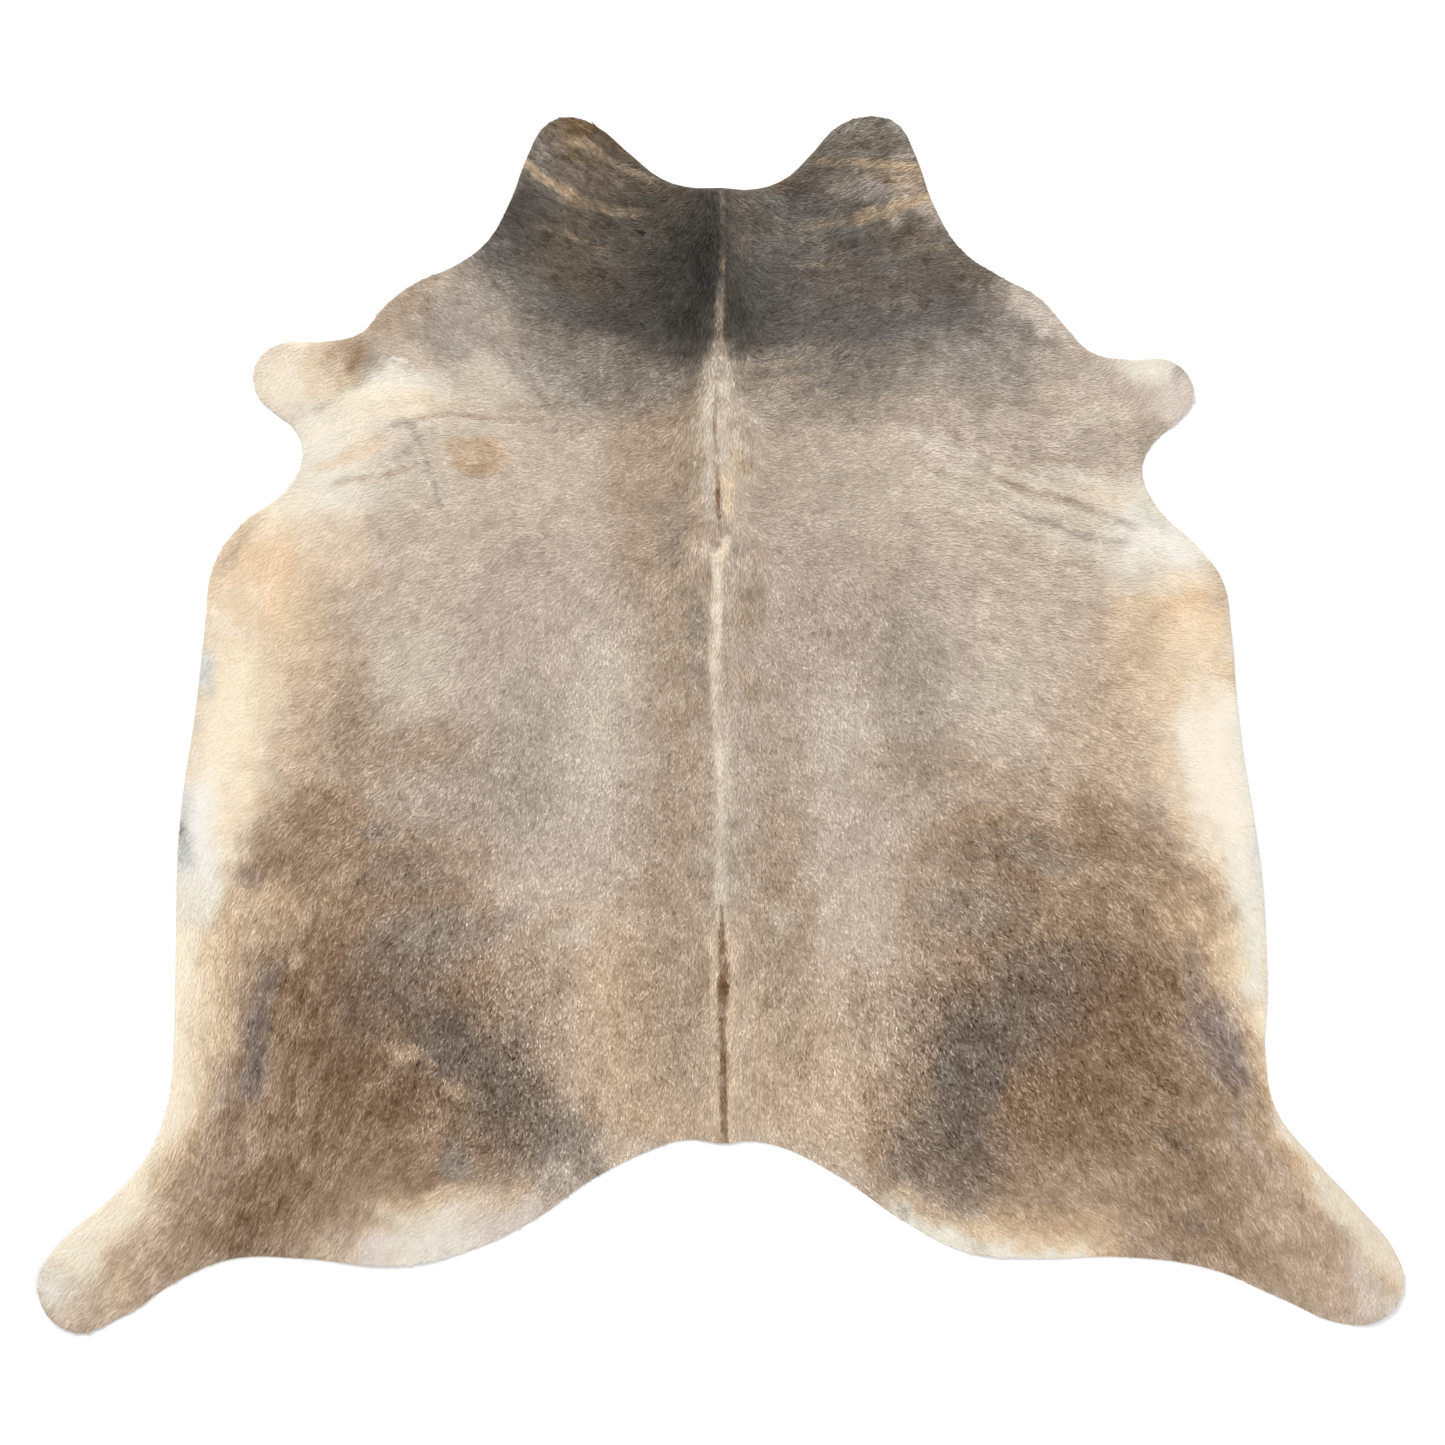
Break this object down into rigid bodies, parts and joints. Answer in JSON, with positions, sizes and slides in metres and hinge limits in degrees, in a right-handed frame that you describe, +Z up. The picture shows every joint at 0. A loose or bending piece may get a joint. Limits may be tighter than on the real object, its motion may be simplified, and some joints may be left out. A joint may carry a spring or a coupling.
{
  "type": "cowhide rug",
  "caption": "Whole tanned cowhide with the hair on, a thin flat rug in the natural outline of neck, forelegs, belly and hind shanks.",
  "frame": {"origin": "middle of the outline's box, on the floor that the flesh side lies on", "axes": "+Z up through the hide from the flesh side to the hair side, +Y along the backbone towards the neck, +X across the hide towards the viewer's right"},
  "size_m": [2.2506, 2.0044, 0.0118],
  "materials": {
    "brindle_coat": "short dense cattle hair lying flat, taupe and grey-brown brindle with cream belly edges, a charcoal neck and charcoal rump patches; matt with a faint sheen"
  },
  "bodies": {
    "root": {"hide": "brindle_coat"}
  },
  "joints": []
}
